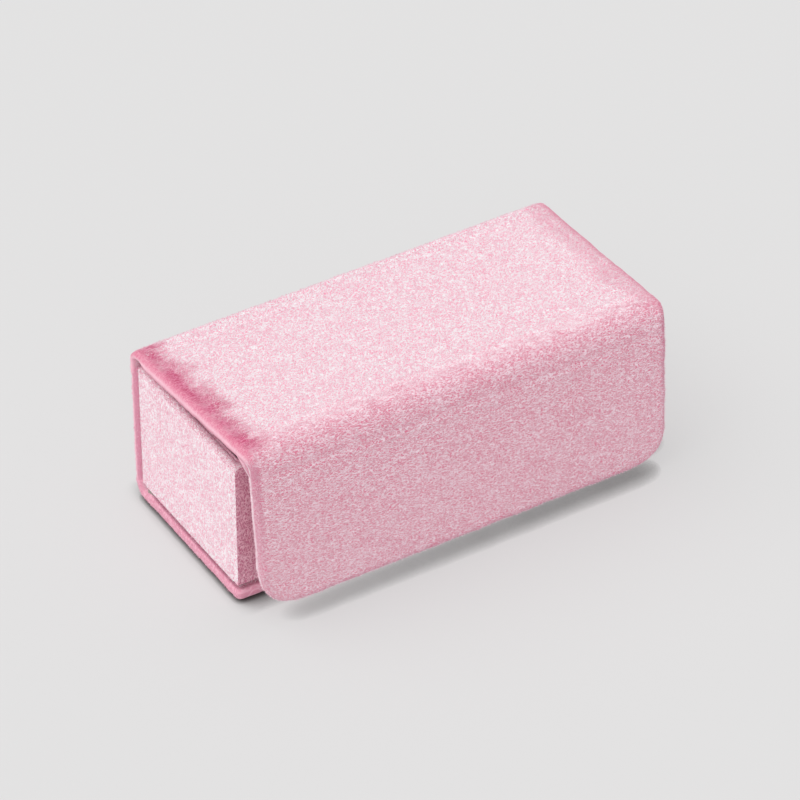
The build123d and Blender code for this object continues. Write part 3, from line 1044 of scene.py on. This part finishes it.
def grow(name, piece, density, length, width, lean, wild, materials):
    """Tufts on a piece. lean is added to the normal, and wild is how much each one differs."""
    at, normal = scatter(piece, density)
    n = len(at)
    towards = normal + np.array(lean) + rng.normal(0, wild, (n, 3))
    towards /= np.linalg.norm(towards, axis=1)[:, None]
    side = np.cross(towards, rng.normal(0, 1, (n, 3)))
    side /= np.linalg.norm(side, axis=1)[:, None]
    other = np.cross(towards, side)
    tall = length * MM * rng.uniform(0.5, 1.1, n)
    wide = width * MM * rng.uniform(0.7, 1.2, n)
    x, y, z = (tuft_points[:, k][None, :, None] for k in range(3))
    co = at[:, None] - normal[:, None] * 0.05 * MM + towards[:, None] * z * tall[:, None, None]
    co = co + (side[:, None] * x + other[:, None] * y) * wide[:, None, None]
    k = len(tuft_points)
    faces = [tuple(v + i * k for v in f) for i in range(n) for f in tuft_faces]
    mesh = bpy.data.meshes.new(name)
    mesh.from_pydata(co.reshape(-1, 3).tolist(), [], faces)
    pile = bpy.data.objects.new(name, mesh)
    bpy.context.scene.collection.objects.link(pile)
    for material in materials:
        mesh.materials.append(material)
    shade = np.repeat(rng.integers(0, len(materials), n), len(tuft_faces))
    mesh.polygons.foreach_set("material_index", shade)
    print(name, n, "tufts,", len(mesh.polygons), "faces")
    return pile


pale_pile = plain("pale_pile", "FBDCE7", 0.8)
pink_pile = plain("pink_pile", "F0B2C6", 0.8)
deep_pile = plain("deep_pile", "DB88A5", 0.8)
white_pile = plain("white_pile", "FFF1F6", 0.8)
three = [pale_pile, pink_pile, deep_pile]
bright = [white_pile, pale_pile, pale_pile, pink_pile]


def outer_only(extra):
    return extra["cloth"][:, 2] < 1.2 * MM


def lid_density(centre, normal, extra):
    edge = extra["edge"] / MM
    band = ramp(edge, 3.0, 7.0) * (1 - ramp(edge, 8, 12)) * 2.0
    return np.where(outer_only(extra), band + 2.4 * ramp(edge, 4, 9), 0)


def fold_density(centre, normal, extra):
    edge = extra["edge"] / MM
    return np.where(outer_only(extra), 1.5 * ramp(edge, 0, 3) + 0.5, 0)


def flap_density(centre, normal, extra):
    edge = extra["edge"] / MM
    rim = (1 - ramp(edge, 0.1, 0.8)) * 7.0
    return np.where(outer_only(extra), 1.2, 0) + np.where(extra["cloth"][:, 2] < 4 * MM, rim, 0)


def base_density(centre, normal, extra):
    edge = extra["edge"] / MM
    off_floor = (extra["cloth"][:, 1] > 0.5 * MM) & (centre[:, 2] > 1 * MM)
    return np.where(off_floor, (1 - ramp(edge, 1.0, 3.0)) * 2.5 + 0.6 * outer_only(extra), 0)


def tray_density(centre, normal, extra):
    high = centre[:, 2] > wrap_high.z - 1.6 * MM
    upright = (np.abs(centre[:, 0]) > wrap_high.x - 3.0 * MM) & (np.abs(normal[:, 2]) < 0.5)
    return np.where(high, 9.0, 0) + np.where(upright & ~high, 3.0, 0)


def panel_density(centre, normal, extra):
    return np.full(len(centre), PANEL_TUFTS)


# name, piece, density, length and width in mm, lean, wildness, colours
rows = [
    ("pile_on_lid", lid_cover, lid_density, 1.3, 0.07, (0.9, -0.2, 0), 0.9, bright),
    ("pile_on_flap", flap_cover, flap_density, 0.9, 0.06, (0.6, 0, -0.3), 0.7, bright),
    ("pile_on_base", base_cover, base_density, 0.7, 0.07, (0, 0, 0.1), 0.5, three),
    ("pile_on_back_fold", back_fold, fold_density, 0.8, 0.07, (0.4, 0, 0), 0.6, three),
    ("pile_on_front_fold", front_fold, fold_density, 1.0, 0.07, (0.8, 0, -0.3), 0.6, three),
    ("pile_on_tray", tray, tray_density, 1.0, 0.07, (0, 0, 0.3), 0.5, three),
]
piles = [grow(*row) for row in rows]
pile_on_lid, pile_on_flap, pile_on_base, pile_on_back_fold, pile_on_front_fold, pile_on_tray = piles
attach(pile_on_lid, "lid")
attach(pile_on_flap, "flap")
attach(pile_on_base, "base")
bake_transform(pile_on_back_fold)
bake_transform(pile_on_front_fold)
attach(pile_on_tray, "base")
for panel in end_panels:
    slice_up(panel, 4 * MM, 1)
    slice_up(panel, 4 * MM, 2)
    name = "pile_on_" + panel.name
    pile = grow(name, panel, panel_density, 1.1, 0.07, (0, 0, 0.9), 0.4, three[:2])
    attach(pile, "base")

# %% [markdown]
# ## Soft pieces
# The two linings' boxes are read here in their boards' own directions, and nothing more is done
# with them.

# %% Soft pieces
linings = [
    ("lid_lining", lid_start, LID, lid_parts["lining"], lid_cover),
    ("flap_lining", flap_start, FLAP, flap_parts["lining"], flap_cover),
]
for node, start, heading, piece, body in linings:
    low, high = board_box(node, start, heading)

# %% [markdown]
# ## Floor and light
# The floor and the light are plain and pale. The world gives the even light of a white room. A
# wide sun from the back left makes the lid brighter than the flap, and a fill from the front
# left lifts the tray's end. The floor darkens only close to the box.

# %% Floor and light
bpy.context.scene.view_settings.view_transform = "Standard"
bpy.ops.object.select_all(action="DESELECT")
bpy.ops.mesh.primitive_plane_add(size=8, location=(0, 0, -0.2 * MM))
floor = bpy.context.object
floor.name = "floor"
matt_floor, tree, output = surface("matt_floor")
# the contact shadow: a tight one all round, and a wider one away from the light
tilted = add(tree, "CombineXYZ", {0: -0.75, 1: 0.1, 2: 0.65}).outputs[0]
away = {"Distance": 8 * MM, "Normal": tilted}
wide = maths(tree, "POWER", add(tree, "AmbientOcclusion", away, samples=8).outputs["AO"], 3.6)
tight = add(tree, "AmbientOcclusion", {"Distance": 2 * MM}, samples=8).outputs["AO"]
near = maths(tree, "MULTIPLY", wide, tight)
lit = add(tree, "CombineColor", {0: near, 1: near, 2: near}).outputs[0]
lit_floor = add(tree, "BsdfPrincipled", {
    "Base Color": mix(tree, near, linear("5A5958"), linear("8E8D8D")),
    "Roughness": 1.0, "Specular IOR Level": 0.0,
    "Emission Color": lit, "Emission Strength": 0.47,
})
tree.links.new(lit_floor.outputs[0], output.inputs["Surface"])
floor.data.materials.append(matt_floor)

world = bpy.data.worlds.new("white_room")
bpy.context.scene.world = world
world.use_nodes = True
world.node_tree.nodes["Background"].inputs["Color"].default_value = (1, 1, 1, 1)
world.node_tree.nodes["Background"].inputs["Strength"].default_value = 0.74

# name, direction towards the light, strength, width in degrees
lights = [
    ("key_light", (-0.47, 0.28, 0.84), 1.15, 60),
    ("fill_light", (-0.85, -0.75, 0.25), 0.645, 70),
]
for name, towards, energy, angle in lights:
    bpy.ops.object.light_add(type="SUN")
    sun = bpy.context.object
    sun.name = name
    sun.rotation_euler = Vector(towards).to_track_quat("Z", "Y").to_euler()
    sun.data.energy = energy
    sun.data.angle = math.radians(angle)
    print(name, "from", towards)
